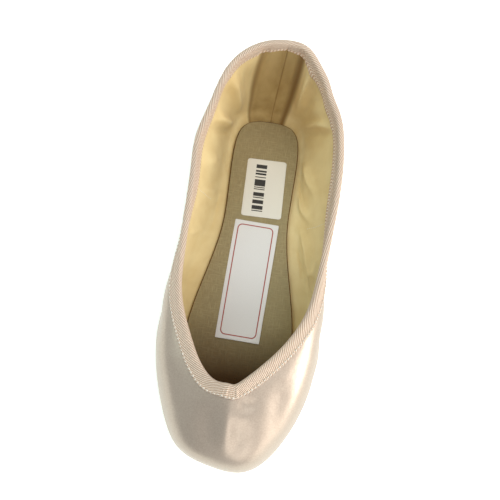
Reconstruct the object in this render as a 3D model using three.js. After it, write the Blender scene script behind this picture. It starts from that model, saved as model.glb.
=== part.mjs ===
// A pointe shoe that stands empty on its sole. Millimetres, +Z up, the toe points to -Y.
// A hollow satin upper with a stiffened box, a folded tape binding over its collar, a leather
// outsole that closes it underneath, a linen insole, a woven label and a size sticker.
import * as THREE from 'three';
import { mergeVertices } from 'three/addons/utils/BufferGeometryUtils.js';

// Overall sizes
const LENGTH = 216; // from the foot of the heel curve to the platform
const BALL_WIDTH = 92; // between the widest section rows, which the sides run just inside
const HEEL_HEIGHT = 61; // collar at the centre back
const SIDE_HEIGHT = 38; // collar at the waist
const THROAT_HEIGHT = 47; // collar at the point of the V
const PLATFORM_HEIGHT = 27.5; // up to the top edge of the flattened tip
const FULL_HEIGHT = 15; // where the side wall is fullest

// Line of the sole
const ARCH_RISE = 10; // under the waist
const HEEL_FLAT_END = 28; // station where the arch starts to rise
const FOREFOOT_FLAT_START = 160; // station where the arch has come down
const FOREFOOT_FLAT_END = 188; // station where the toe starts to spring
const TOE_SPRING = 2.5; // rise at the tip
const LEAST_FOLLOW = 0.35; // the highest points still follow this share of the arch

// What makes this shoe uneven
const BOX_TURN = 12; // degrees by which the box curves to one side, towards -X
const HEEL_LEAN = 3.5; // the collar at the heel leans this far to one side

// Layers
const QUARTER_WALL = 1.4; // satin, interlining and lining together
const BOX_WALL = 3; // the stiffened box
const MARGIN_WALL = 1.2; // pleated margin turned under the sole
const OUTSOLE_THICKNESS = 2.4;
const MARGIN_HEIGHT = 0.9; // the margin lies this far above the tread of the outsole
const INSOLE_THICKNESS = 2.2;
const INSOLE_LAP = 1.5; // how far the insole covers the turned margin
const GAP = 0.3; // between pieces that meet

// Folded tape of the binding
const TAPE_THICKNESS = 0.7;
const TAPE_OUTSIDE = 6.5; // width of the leg on the satin
const TAPE_INSIDE = 8.5; // width of the leg on the lining

// Label and sticker on the insole: station and offset of the centre, turn in degrees
const LABEL = { width: 25.5, length: 69, station: 111.5, offset: 0, turn: -1.3, corner: 0.5, thickness: 0.5 };
const STICKER = { width: 23.5, length: 38, station: 54.5, offset: 2, turn: 1.3, corner: 1.6, thickness: 0.4 };

// Fineness of the meshes
const STEPS_PER_ROW = 3.5; // along the shoe, between two section rows
const STEPS_UP = 12; // from the sole edge to the collar
const CORNER_STEPS = 4; // round a corner of a label
const LABEL_STEPS = 10; // along a label

// Section rows from the centre back, along one side, to the tip. They steer a smooth surface.
// Stations are shares of LENGTH and widths are shares of half the BALL_WIDTH.
const HALF = BALL_WIDTH / 2;

// Lower half of each row: edge of the sole opening (station, width),
// turn of the margin (station, width), fullest point of the wall (station, width)
const LOWER_ROWS = [
  ['heel back', 0.054, 0, 0.007, 0, -0.014, 0],
  ['heel quarter', 0.056, 0.174, 0.008, 0.217, -0.013, 0.239],
  ['heel corner', 0.069, 0.335, 0.028, 0.457, 0.016, 0.522],
  ['heel side', 0.117, 0.4, 0.102, 0.543, 0.097, 0.652],
  ['heel front', 0.194, 0.4, 0.194, 0.554, 0.194, 0.674],
  ['waist back', 0.287, 0.38, 0.287, 0.565, 0.287, 0.707],
  ['waist', 0.38, 0.37, 0.38, 0.63, 0.38, 0.793],
  ['arch front', 0.481, 0.457, 0.481, 0.74, 0.481, 0.86],
  ['ball back', 0.574, 0.576, 0.574, 0.87, 0.574, 0.989],
  ['ball', 0.667, 0.652, 0.667, 0.913, 0.667, 1.0],
  ['box side', 0.764, 0.663, 0.769, 0.9, 0.769, 0.985],
  ['box front', 0.861, 0.6, 0.875, 0.77, 0.875, 0.835],
  ['platform corner', 0.931, 0.42, 0.968, 0.545, 0.972, 0.575],
  ['platform quarter', 0.943, 0.239, 0.998, 0.304, 1.0, 0.304],
  ['tip', 0.945, 0, 1.0, 0, 1.002, 0],
];

// Upper half of each row: shoulder (station, width, height),
// collar (station, width, height), crown between them
const UPPER_ROWS = [
  ['heel back', -0.038, 0, 0.6 * HEEL_HEIGHT, -0.062, 0, HEEL_HEIGHT, 0],
  ['heel quarter', -0.037, 0.25, 0.6 * HEEL_HEIGHT, -0.06, 0.239, HEEL_HEIGHT, 0],
  ['heel corner', -0.006, 0.565, 0.583 * HEEL_HEIGHT, -0.015, 0.51, 0.95 * HEEL_HEIGHT, 0],
  ['heel side', 0.083, 0.739, 0.55 * HEEL_HEIGHT, 0.069, 0.735, 0.85 * HEEL_HEIGHT, 0],
  ['heel front', 0.194, 0.793, 0.5 * HEEL_HEIGHT, 0.176, 0.87, 0.733 * HEEL_HEIGHT, 0],
  ['waist back', 0.287, 0.804, 0.71 * SIDE_HEIGHT, 0.282, 0.891, 1.03 * SIDE_HEIGHT, 0],
  ['waist', 0.38, 0.848, 0.71 * SIDE_HEIGHT, 0.38, 0.87, 0.97 * SIDE_HEIGHT, 0],
  ['arch front', 0.477, 0.87, 0.737 * SIDE_HEIGHT, 0.477, 0.837, 0.97 * SIDE_HEIGHT, 0],
  ['ball back', 0.574, 0.957, 1.09 * PLATFORM_HEIGHT, 0.565, 0.804, SIDE_HEIGHT, 0.02 * THROAT_HEIGHT],
  ['ball', 0.662, 0.935, 1.16 * PLATFORM_HEIGHT, 0.644, 0.685, 0.85 * THROAT_HEIGHT, 0.043 * THROAT_HEIGHT],
  ['box side', 0.759, 0.905, 1.16 * PLATFORM_HEIGHT, 0.716, 0.457, 0.915 * THROAT_HEIGHT, 0.043 * THROAT_HEIGHT],
  ['box front', 0.863, 0.735, 1.12 * PLATFORM_HEIGHT, 0.764, 0.25, 0.957 * THROAT_HEIGHT, 0.043 * THROAT_HEIGHT],
  ['platform corner', 0.962, 0.51, 1.05 * PLATFORM_HEIGHT, 0.789, 0.125, 0.99 * THROAT_HEIGHT, 0.035 * THROAT_HEIGHT],
  ['platform quarter', 0.994, 0.283, 1.05 * PLATFORM_HEIGHT, 0.8, 0.05, THROAT_HEIGHT, 0.035 * THROAT_HEIGHT],
  ['tip', 0.996, 0, 1.05 * PLATFORM_HEIGHT, 0.802, 0, THROAT_HEIGHT, 0.035 * THROAT_HEIGHT],
];

// Shape of a row between its rails: shares of the way from rail to rail
const MARGIN_MIDDLE = 0.6;
const CROWN_LOW = 0.3;
const CROWN_HIGH = 0.7;

// Each row as a list of points (station, out, up) from the sole edge to the collar
const SECTIONS = LOWER_ROWS.map((lower, row) => {
  const [, soleAlong, soleOut, turnAlong, turnOut, wallAlong, wallOut] = lower;
  const [, shoulderAlong, shoulderOut, shoulderUp, collarAlong, collarOut, collarUp, crown] = UPPER_ROWS[row];
  const sole = new THREE.Vector3(soleAlong * LENGTH, soleOut * HALF, MARGIN_HEIGHT);
  const turn = new THREE.Vector3(turnAlong * LENGTH, turnOut * HALF, MARGIN_HEIGHT);
  const wall = new THREE.Vector3(wallAlong * LENGTH, wallOut * HALF, FULL_HEIGHT);
  const shoulder = new THREE.Vector3(shoulderAlong * LENGTH, shoulderOut * HALF, shoulderUp);
  const collar = new THREE.Vector3(collarAlong * LENGTH, collarOut * HALF, collarUp);
  const lift = new THREE.Vector3(0, 0, crown);
  return [
    sole,
    sole.clone().lerp(turn, MARGIN_MIDDLE),
    turn,
    wall,
    shoulder,
    shoulder.clone().lerp(collar, CROWN_LOW).add(lift),
    shoulder.clone().lerp(collar, CROWN_HIGH).add(lift),
    collar,
  ];
});
const LAST_ROW = SECTIONS.length - 1;

function smooth(share) {
  const t = THREE.MathUtils.clamp(share, 0, 1);
  return t * t * (3 - 2 * t);
}

// Row r of the sections, also one past each end, where the other side of the shoe begins
function sectionRow(row) {
  const mirrored = row < 0 || row > LAST_ROW;
  const inside = row < 0 ? -row : row > LAST_ROW ? 2 * LAST_ROW - row : row;
  if (!mirrored) return SECTIONS[inside];
  return SECTIONS[inside].map((point) => new THREE.Vector3(point.x, -point.y, point.z));
}

// Weights of a uniform cubic B-spline at share t between its middle two points
function splineWeights(t) {
  const rest = 1 - t;
  return [
    rest ** 3 / 6,
    (3 * t ** 3 - 6 * t ** 2 + 4) / 6,
    (-3 * t ** 3 + 3 * t ** 2 + 3 * t + 1) / 6,
    t ** 3 / 6,
  ];
}

// The section at a place along the rows, where 0 is the centre back and LAST_ROW the tip
function sectionAt(place) {
  const row = Math.min(Math.floor(place), LAST_ROW - 1);
  const weights = splineWeights(place - row);
  const points = SECTIONS[0].map(() => new THREE.Vector3());
  weights.forEach((weight, step) => {
    sectionRow(row - 1 + step).forEach((point, i) => points[i].addScaledVector(point, weight));
  });
  return points;
}

// A point on a clamped cubic B-spline through the section, by de Boor's rule
const DEGREE = 3;
function pointOnSection(points, share) {
  const spans = points.length - DEGREE;
  const knot = (i) => THREE.MathUtils.clamp(i - DEGREE, 0, spans);
  const x = THREE.MathUtils.clamp(share, 0, 1) * spans;
  const span = Math.min(Math.floor(x), spans - 1) + DEGREE;
  const d = [];
  for (let j = 0; j <= DEGREE; j += 1) d.push(points[span - DEGREE + j].clone());
  for (let level = 1; level <= DEGREE; level += 1) {
    for (let j = DEGREE; j >= level; j -= 1) {
      const low = knot(span - DEGREE + j);
      const high = knot(span + 1 + j - level);
      const blend = (x - low) / (high - low);
      d[j] = d[j - 1].clone().lerp(d[j], blend);
    }
  }
  return d[DEGREE];
}

// Height of the sole line above the floor at a station
function soleRise(station) {
  const archShare = (station - HEEL_FLAT_END) / (FOREFOOT_FLAT_START - HEEL_FLAT_END);
  const arch = ARCH_RISE * Math.sin(Math.PI * THREE.MathUtils.clamp(archShare, 0, 1)) ** 2;
  const springShare = (station - FOREFOOT_FLAT_END) / (LENGTH - FOREFOOT_FLAT_END);
  return arch + TOE_SPRING * Math.max(springShare, 0) ** 2;
}

// From station, out and up to X, Y and Z, with the arch, the curved box and the leaning heel
const TURN_START = 0.75 * LENGTH; // the box curves from here on
const TURN_RADIUS = (LENGTH - TURN_START) / THREE.MathUtils.degToRad(BOX_TURN);
const LEAN_FULL = 0.28 * LENGTH; // the collar leans fully behind here
const LEAN_END = 0.69 * LENGTH; // and not at all in front of here
function place(station, out, up) {
  const lean = HEEL_LEAN * smooth((LEAN_END - station) / (LEAN_END - LEAN_FULL)) * (up / HEEL_HEIGHT);
  const turned = Math.max(station - TURN_START, 0) / TURN_RADIUS;
  const fromCentre = TURN_RADIUS + out;
  const along = Math.min(station, TURN_START) + fromCentre * Math.sin(turned);
  const across = fromCentre * Math.cos(turned) - TURN_RADIUS + lean;
  const follow = Math.max(LEAST_FOLLOW, 1 - up / HEEL_HEIGHT);
  return new THREE.Vector3(across, -along, up + soleRise(station) * follow);
}

// Outer surface of the upper. Places past LAST_ROW run back along the other side to the heel.
function surface(along, share) {
  const turn = 2 * LAST_ROW;
  const wrapped = ((along % turn) + turn) % turn;
  const otherSide = wrapped > LAST_ROW;
  const point = pointOnSection(sectionAt(otherSide ? turn - wrapped : wrapped), share);
  return place(point.x, otherSide ? -point.y : point.y, point.z);
}

// Outward normal of the outer surface
const SMALL = 0.004;
function normal(along, share) {
  const low = Math.max(share - SMALL, 0);
  const high = Math.min(share + SMALL, 1);
  const up = surface(along, high).sub(surface(along, low));
  const forward = surface(along + SMALL, share).sub(surface(along - SMALL, share));
  return up.cross(forward).normalize();
}

// Thickness of the wall: thin where it turns under the sole and at the collar, thick in the box
const BOX_WALL_START = 0.58; // share of LENGTH where the wall starts to stiffen
const BOX_WALL_RISE = 0.2; // share of LENGTH over which it grows to the full wall of the box
const COLLAR_THINNING = 0.25; // share of a section over which it thins to the collar
const MARGIN_THINNING = 0.22; // share of a section over which it thins to the margin
function wallThickness(along, share) {
  const station = -surface(along, share).y;
  const inBox = smooth((station / LENGTH - BOX_WALL_START) / BOX_WALL_RISE);
  const belowCollar = smooth((1 - share) / COLLAR_THINNING);
  const aboveMargin = smooth(share / MARGIN_THINNING);
  const wall = THREE.MathUtils.lerp(QUARTER_WALL, BOX_WALL, inBox * belowCollar);
  return THREE.MathUtils.lerp(MARGIN_WALL, wall, aboveMargin);
}

// A closed mesh from a list of vertices and triangles, with its faces pointing out
function solid(vertices, triangles) {
  const used = triangles.filter(([a, b, c]) => {
    const same = vertices[a].equals(vertices[b]) || vertices[b].equals(vertices[c]);
    return !same && !vertices[a].equals(vertices[c]);
  });
  let volume = 0;
  used.forEach(([a, b, c]) => {
    volume += vertices[a].dot(vertices[b].clone().cross(vertices[c]));
  });
  const outward = volume > 0 ? used : used.map(([a, b, c]) => [a, c, b]);
  const soup = new THREE.BufferGeometry();
  soup.setAttribute('position', new THREE.Float32BufferAttribute(vertices.flatMap((v) => v.toArray()), 3));
  soup.setIndex(outward.flat());
  const merged = mergeVertices(soup);
  merged.computeVertexNormals();
  return merged;
}

// A tube-like solid that runs once round the shoe: rings[i] is the closed section at step i
function closedLoop(rings) {
  const around = rings.length;
  const sides = rings[0].length;
  const triangles = [];
  for (let i = 0; i < around; i += 1) {
    for (let j = 0; j < sides; j += 1) {
      const a = i * sides + j;
      const b = i * sides + ((j + 1) % sides);
      const c = ((i + 1) % around) * sides + j;
      const d = ((i + 1) % around) * sides + ((j + 1) % sides);
      triangles.push([a, b, c], [b, d, c]);
    }
  }
  return solid(rings.flat(), triangles);
}

// Places along the rows at which the upper and its binding have their sections
const AROUND = Math.round(2 * LAST_ROW * STEPS_PER_ROW);
const PLACES = Array.from({ length: AROUND }, (_, i) => (i / AROUND) * 2 * LAST_ROW);

// Shares of a section at which the wall has its points, closer together under the binding
const FINE_STEPS = 2;
const SHARES = Array.from({ length: STEPS_UP + 1 }, (_, j) => j / STEPS_UP);
for (let j = 0; j < FINE_STEPS; j += 1) SHARES.push(1 - (j + 0.5) / STEPS_UP);
SHARES.sort((low, high) => low - high);

// The upper: satin outside, lining inside, open at the collar and under the sole
function makeUpper() {
  const rings = PLACES.map((along) => {
    const outside = SHARES.map((share) => surface(along, share));
    const inside = SHARES.map((share) => {
      const inward = -wallThickness(along, share);
      return surface(along, share).addScaledVector(normal(along, share), inward);
    });
    return [...outside, ...inside.reverse()];
  });
  return closedLoop(rings);
}

// The share of a section at which the wall lies a given depth below the collar
const DEPTH_STEP = 0.005;
function shareBelowCollar(along, depth) {
  let share = 1;
  let walked = 0;
  let last = surface(along, share);
  while (walked < depth && share > 0) {
    share -= DEPTH_STEP;
    const next = surface(along, share);
    walked += next.distanceTo(last);
    last = next;
  }
  return share;
}

// How far out and up the tape's fold passes the corners of the rim, as shares of its clearance
const CORNER = 0.75;
const LEG_SHARES = [1, 0.5, 0]; // shares of a leg's width at which it has its points

// The binding: one tape folded over the collar, a leg on the satin and a leg on the lining
function makeBinding() {
  const rings = PLACES.map((along) => {
    const wall = wallThickness(along, 1);
    const rim = surface(along, 1);
    const out = normal(along, 1);
    const up = rim.clone().sub(surface(along, 1 - SMALL)).normalize();
    const leg = (width, clearance, inner) => LEG_SHARES.map((part) => {
      const share = shareBelowCollar(along, part * width);
      const depth = inner ? -wallThickness(along, share) - clearance : clearance;
      return surface(along, share).addScaledVector(normal(along, share), depth);
    });
    const over = (across, height) => rim.clone().addScaledVector(out, across).addScaledVector(up, height);
    const outerFace = leg(TAPE_OUTSIDE, GAP + TAPE_THICKNESS, false);
    const innerFace = leg(TAPE_INSIDE, GAP + TAPE_THICKNESS, true).reverse();
    const innerBack = leg(TAPE_INSIDE, GAP, true);
    const outerBack = leg(TAPE_OUTSIDE, GAP, false).reverse();
    const bend = (clearance) => [
      over(CORNER * clearance, CORNER * clearance),
      over(-wall / 2, clearance),
      over(-wall - CORNER * clearance, CORNER * clearance),
    ];
    const fold = bend(GAP + TAPE_THICKNESS);
    const underFold = bend(GAP).reverse();
    return [...outerFace, ...fold, ...innerFace, ...innerBack, ...underFold, ...outerBack];
  });
  return closedLoop(rings);
}

// A flat piece that follows the sole line: half outline from its heel end to its toe end as
// (station, out), both faces at a height over the sole line, and a mapping of the plan
const SPINE_INSET = 0.25; // the middle line of its faces stops this share of the width short
function slab(halfOutline, bottom, top, plan = (station, out) => [station, out]) {
  const last = halfOutline.length - 1;
  const inset = SPINE_INSET * Math.max(...halfOutline.map(([, out]) => out));
  const first = halfOutline[0][0] + inset;
  const end = halfOutline[last][0] - inset;
  const outline = [
    ...halfOutline,
    ...halfOutline.slice(1, last).reverse().map(([station, out]) => [station, -out]),
  ];
  const count = outline.length;
  const spine = outline.map(([station]) => [THREE.MathUtils.clamp(station, first, end), 0]);
  const vertices = [];
  [bottom, top].forEach((up) => {
    [outline, spine].forEach((list) => {
      list.forEach(([station, out]) => {
        const [planStation, planOut] = plan(station, out);
        vertices.push(place(planStation, planOut, up));
      });
    });
  });
  const triangles = [];
  for (let i = 0; i < count; i += 1) {
    const next = (i + 1) % count;
    const [edge, middle, topEdge, topMiddle] = [0, count, 2 * count, 3 * count];
    triangles.push([edge + i, edge + next, middle + i], [edge + next, middle + next, middle + i]);
    triangles.push([topEdge + i, topMiddle + i, topEdge + next], [topEdge + next, topMiddle + i, topMiddle + next]);
    triangles.push([edge + i, topEdge + i, edge + next], [edge + next, topEdge + i, topEdge + next]);
  }
  return solid(vertices, triangles);
}

// Half outline of the sole opening, moved out by a distance
function soleOutline(distance) {
  const places = PLACES.filter((along) => along <= LAST_ROW + SMALL);
  return places.map((along) => {
    const here = sectionAt(along)[0];
    if (along < SMALL) return [here.x - distance, 0];
    if (along > LAST_ROW - SMALL) return [here.x + distance, 0];
    const ahead = sectionAt(along + SMALL)[0].sub(sectionAt(along - SMALL)[0]).normalize();
    return [here.x - ahead.y * distance, here.y + ahead.x * distance];
  });
}

// Heights of the layers over the sole line
const INSOLE_BOTTOM = OUTSOLE_THICKNESS + GAP;
const INSOLE_TOP = INSOLE_BOTTOM + INSOLE_THICKNESS;

// Half outline of a label with rounded corners, about its own centre
function labelOutline({ width, length, corner }) {
  const half = width / 2;
  const quarter = Array.from({ length: CORNER_STEPS + 1 }, (_, i) => (i / CORNER_STEPS) * (Math.PI / 2));
  const straight = length - 2 * corner;
  const side = Array.from({ length: LABEL_STEPS - 1 }, (_, i) => ((i + 1) / LABEL_STEPS - 0.5) * straight);
  const round = (angle) => half - corner + corner * Math.sin(angle);
  return [
    [-length / 2, 0],
    ...quarter.map((angle) => [-straight / 2 - corner * Math.cos(angle), round(angle)]),
    ...side.map((station) => [station, half]),
    ...quarter.reverse().map((angle) => [straight / 2 + corner * Math.cos(angle), round(angle)]),
    [length / 2, 0],
  ];
}

// A label lying on the insole
function makeLabel(label) {
  const turn = THREE.MathUtils.degToRad(label.turn);
  const plan = (station, out) => [
    label.station + station * Math.cos(turn) - out * Math.sin(turn),
    label.offset + station * Math.sin(turn) + out * Math.cos(turn),
  ];
  return slab(labelOutline(label), INSOLE_TOP + GAP, INSOLE_TOP + GAP + label.thickness, plan);
}

function piece(name, geometry, color, roughness) {
  const mesh = new THREE.Mesh(geometry, new THREE.MeshStandardMaterial({ color, roughness, metalness: 0 }));
  mesh.name = name;
  return mesh;
}

const shoe = new THREE.Group();
shoe.name = 'pointe_shoe';
shoe.add(
  piece('upper', makeUpper(), 0xdcc8b8, 0.45),
  piece('binding', makeBinding(), 0xe0c4b0, 0.8),
  piece('outsole', slab(soleOutline(-GAP), 0, OUTSOLE_THICKNESS), 0xc9a98a, 0.7),
  piece('insole', slab(soleOutline(INSOLE_LAP), INSOLE_BOTTOM, INSOLE_TOP), 0xb3a585, 0.9),
  piece('woven_label', makeLabel(LABEL), 0xe6e2dc, 0.6),
  piece('size_sticker', makeLabel(STICKER), 0xe8e4da, 0.5),
);

// The origin lies on the floor under the middle of the whole shoe
const middle = new THREE.Box3().setFromObject(shoe).getCenter(new THREE.Vector3());
shoe.position.set(-middle.x, -middle.y, 0);

export default shoe;
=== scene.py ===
# A satin pointe shoe, empty and standing on its sole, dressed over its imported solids.
import math

import bmesh
import bpy
import numpy as np
from mathutils import Matrix, Vector


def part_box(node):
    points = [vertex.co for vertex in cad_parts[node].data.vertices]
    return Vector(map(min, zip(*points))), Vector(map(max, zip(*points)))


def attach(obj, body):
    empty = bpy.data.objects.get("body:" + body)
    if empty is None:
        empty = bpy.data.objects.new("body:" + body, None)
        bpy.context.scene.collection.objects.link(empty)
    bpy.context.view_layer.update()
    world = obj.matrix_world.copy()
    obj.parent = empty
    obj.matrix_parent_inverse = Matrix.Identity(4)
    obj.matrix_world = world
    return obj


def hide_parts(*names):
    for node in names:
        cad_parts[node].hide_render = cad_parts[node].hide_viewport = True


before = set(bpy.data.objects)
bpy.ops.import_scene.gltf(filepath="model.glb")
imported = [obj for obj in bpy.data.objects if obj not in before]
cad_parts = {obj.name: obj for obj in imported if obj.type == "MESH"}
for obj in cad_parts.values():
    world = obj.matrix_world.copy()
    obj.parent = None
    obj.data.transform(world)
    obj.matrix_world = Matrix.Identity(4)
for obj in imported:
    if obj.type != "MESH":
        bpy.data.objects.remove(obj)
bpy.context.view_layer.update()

# Upper
# Pale pink satin backed with cotton, lasted over the stiffened box, pleated under the toe and
# lined with cream cotton. One wall, made from section rows that run from the heel to the tip.
MM = 0.001
LENGTH = 216.0
HALF = 46.0
HEEL_HEIGHT = 61.0
SIDE_HEIGHT = 38.0
THROAT_HEIGHT = 47.0
PLATFORM_HEIGHT = 27.5
FULL_HEIGHT = 15.0
ARCH_RISE = 10.0
HEEL_FLAT_END = 28.0
FOREFOOT_FLAT_START = 160.0
FOREFOOT_FLAT_END = 188.0
TOE_SPRING = 2.5
LEAST_FOLLOW = 0.35
BOX_TURN = math.radians(12)
HEEL_LEAN = 3.5
QUARTER_WALL = 1.4
BOX_WALL = 3.0
MARGIN_WALL = 1.2
MARGIN_HEIGHT = 0.9

# Each row: sole edge station and width, margin turn station and width, wall station and width.
# Stations are shares of LENGTH and widths are shares of HALF.
LOWER_ROWS = np.array([
    (0.054, 0, 0.007, 0, -0.014, 0),  # heel back
    (0.056, 0.174, 0.008, 0.217, -0.013, 0.239),  # heel quarter
    (0.069, 0.335, 0.028, 0.457, 0.016, 0.522),  # heel corner
    (0.117, 0.4, 0.102, 0.543, 0.097, 0.652),  # heel side
    (0.194, 0.4, 0.194, 0.554, 0.194, 0.674),  # heel front
    (0.287, 0.38, 0.287, 0.565, 0.287, 0.707),  # waist back
    (0.38, 0.37, 0.38, 0.63, 0.38, 0.793),  # waist
    (0.481, 0.457, 0.481, 0.74, 0.481, 0.86),  # arch front
    (0.574, 0.576, 0.574, 0.87, 0.574, 0.989),  # ball back
    (0.667, 0.652, 0.667, 0.913, 0.667, 1.0),  # ball
    (0.764, 0.663, 0.769, 0.9, 0.769, 0.985),  # box side
    (0.861, 0.6, 0.875, 0.77, 0.875, 0.835),  # box front
    (0.931, 0.42, 0.968, 0.545, 0.972, 0.575),  # platform corner
    (0.943, 0.239, 0.998, 0.304, 1.0, 0.304),  # platform quarter
    (0.945, 0, 1.0, 0, 1.002, 0),  # tip
])

# Each row: shoulder station, width and height, collar station, width and height, crown
UPPER_ROWS = np.array([
    (-0.038, 0, 0.6 * HEEL_HEIGHT, -0.062, 0, HEEL_HEIGHT, 0),
    (-0.037, 0.25, 0.6 * HEEL_HEIGHT, -0.06, 0.239, HEEL_HEIGHT, 0),
    (-0.006, 0.565, 0.583 * HEEL_HEIGHT, -0.015, 0.51, 0.95 * HEEL_HEIGHT, 0),
    (0.083, 0.739, 0.55 * HEEL_HEIGHT, 0.069, 0.735, 0.85 * HEEL_HEIGHT, 0),
    (0.194, 0.793, 0.5 * HEEL_HEIGHT, 0.176, 0.87, 0.733 * HEEL_HEIGHT, 0),
    (0.287, 0.804, 0.71 * SIDE_HEIGHT, 0.282, 0.891, 1.03 * SIDE_HEIGHT, 0),
    (0.38, 0.848, 0.71 * SIDE_HEIGHT, 0.38, 0.87, 0.97 * SIDE_HEIGHT, 0),
    (0.477, 0.87, 0.737 * SIDE_HEIGHT, 0.477, 0.837, 0.97 * SIDE_HEIGHT, 0),
    (0.574, 0.957, 1.09 * PLATFORM_HEIGHT, 0.565, 0.804, SIDE_HEIGHT, 0.02 * THROAT_HEIGHT),
    (0.662, 0.935, 1.16 * PLATFORM_HEIGHT, 0.644, 0.685, 0.85 * THROAT_HEIGHT, 0.043 * THROAT_HEIGHT),
    (0.759, 0.905, 1.16 * PLATFORM_HEIGHT, 0.716, 0.457, 0.915 * THROAT_HEIGHT, 0.043 * THROAT_HEIGHT),
    (0.863, 0.735, 1.12 * PLATFORM_HEIGHT, 0.764, 0.25, 0.957 * THROAT_HEIGHT, 0.043 * THROAT_HEIGHT),
    (0.962, 0.51, 1.05 * PLATFORM_HEIGHT, 0.789, 0.125, 0.99 * THROAT_HEIGHT, 0.035 * THROAT_HEIGHT),
    (0.994, 0.283, 1.05 * PLATFORM_HEIGHT, 0.8, 0.05, THROAT_HEIGHT, 0.035 * THROAT_HEIGHT),
    (0.996, 0, 1.05 * PLATFORM_HEIGHT, 0.802, 0, THROAT_HEIGHT, 0.035 * THROAT_HEIGHT),
])
TIP = len(LOWER_ROWS) - 1

# Shares of the margin and of the way from shoulder to collar at which a section has its points
MARGIN_MIDDLE = 0.6
CROWN_LOW = 0.3
CROWN_HIGH = 0.7


def section_points():
    """Every row as points (station, out, up) from the sole edge to the collar."""
    scale = np.array([LENGTH, HALF, 1.0])
    level = np.full(TIP + 1, MARGIN_HEIGHT)
    sole = np.column_stack([LOWER_ROWS[:, 0:2], level]) * scale
    turn = np.column_stack([LOWER_ROWS[:, 2:4], level]) * scale
    wall = np.column_stack([LOWER_ROWS[:, 4:6], np.full(TIP + 1, FULL_HEIGHT)]) * scale
    shoulder = UPPER_ROWS[:, 0:3] * scale
    collar = UPPER_ROWS[:, 3:6] * scale
    crown = np.zeros_like(sole)
    crown[:, 2] = UPPER_ROWS[:, 6]
    rows = [sole, sole + MARGIN_MIDDLE * (turn - sole), turn, wall, shoulder]
    rows += [shoulder + share * (collar - shoulder) + crown for share in (CROWN_LOW, CROWN_HIGH)]
    rows = np.stack(rows + [collar], axis=1)
    mirror = np.array([1, -1, 1])
    return np.concatenate([rows[1:2] * mirror, rows, rows[-2:-1] * mirror])


SECTIONS = section_points()


def smooth(share):
    share = np.clip(share, 0, 1)
    return share * share * (3 - 2 * share)


def sections_at(along):
    """Blended sections at places along the rows: 0 is the centre back, TIP the tip."""
    row = np.clip(np.floor(along).astype(int), 0, TIP - 1)
    t = (along - row)[:, None, None]
    return ((1 - t) ** 3 * SECTIONS[row]
            + (3 * t ** 3 - 6 * t ** 2 + 4) * SECTIONS[row + 1]
            + (-3 * t ** 3 + 3 * t ** 2 + 3 * t + 1) * SECTIONS[row + 2]
            + t ** 3 * SECTIONS[row + 3]) / 6


def up_weights(share):
    """Weights of the eight section points on a clamped cubic B-spline."""
    spans = 5
    knots = np.concatenate([np.zeros(3), np.arange(spans + 1), np.full(3, spans)])
    x = np.clip(share, 0, 1 - 1e-9) * spans
    weights = ((knots[:-1] <= x[:, None]) & (x[:, None] < knots[1:])).astype(float)
    for degree in (1, 2, 3):
        left = knots[degree:-1] - knots[:-degree - 1]
        right = knots[degree + 1:] - knots[1:-degree]
        rise = (x[:, None] - knots[:-degree - 1]) / np.where(left > 0, left, 1) * (left > 0)
        fall = (knots[degree + 1:] - x[:, None]) / np.where(right > 0, right, 1) * (right > 0)
        weights = rise * weights[:, :-1] + fall * weights[:, 1:]
    return weights


def sole_rise(station):
    share = np.clip((station - HEEL_FLAT_END) / (FOREFOOT_FLAT_START - HEEL_FLAT_END), 0, 1)
    spring = np.clip((station - FOREFOOT_FLAT_END) / (LENGTH - FOREFOOT_FLAT_END), 0, None)
    return ARCH_RISE * np.sin(np.pi * share) ** 2 + TOE_SPRING * spring ** 2


# The box curves from the first of these stations on. The collar leans fully behind the second
# and not at all in front of the third
TURN_START = 0.75 * LENGTH
LEAN_FULL = 0.28 * LENGTH
LEAN_END = 0.69 * LENGTH
TURN_RADIUS = (LENGTH - TURN_START) / BOX_TURN


def place_raw(station, out, up):
    """From station, out and up to X, Y and Z: arch, curved box and leaning heel."""
    lean = HEEL_LEAN * smooth((LEAN_END - station) / (LEAN_END - LEAN_FULL)) * (up / HEEL_HEIGHT)
    turned = np.maximum(station - TURN_START, 0) / TURN_RADIUS
    along = np.minimum(station, TURN_START) + (TURN_RADIUS + out) * np.sin(turned)
    across = (TURN_RADIUS + out) * np.cos(turned) - TURN_RADIUS + lean
    follow = np.maximum(LEAST_FOLLOW, 1 - up / HEEL_HEIGHT)
    return np.stack([across, -along, up + sole_rise(station) * follow], axis=-1)


def sole_outline(along, distance):
    """Half outline of the sole opening, moved out by a distance, as (station, out)."""
    here = sections_at(along)[:, 0, :2]
    ahead = np.gradient(here, axis=0)
    ahead /= np.linalg.norm(ahead, axis=1, keepdims=True)
    moved = here + distance * np.column_stack([-ahead[:, 1], ahead[:, 0]])
    moved[[0, -1], 1] = 0
    return moved


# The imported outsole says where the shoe's own origin lies
OUTSOLE_GAP = 0.3
edge = sole_outline(np.linspace(0, TIP, 400), -OUTSOLE_GAP)
edge = np.concatenate([edge, edge * [1, -1]])
edge = place_raw(edge[:, 0], edge[:, 1], np.zeros(len(edge)))
low, high = (np.array(corner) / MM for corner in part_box("outsole"))
ORIGIN = ((low + high) / 2 - (edge.min(0) + edge.max(0)) / 2) * [1, 1, 0]


def place(station, out, up):
    return place_raw(station, out, up) + ORIGIN


# The collar is cut a little lower at the throat, most of all on its left arm. Each cut is a
# depth as a share of the way up, its place and its width
THROAT_CUTS = ((0.005, 13.4, 1.6), (0.043, 17.2, 1.5))


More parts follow.
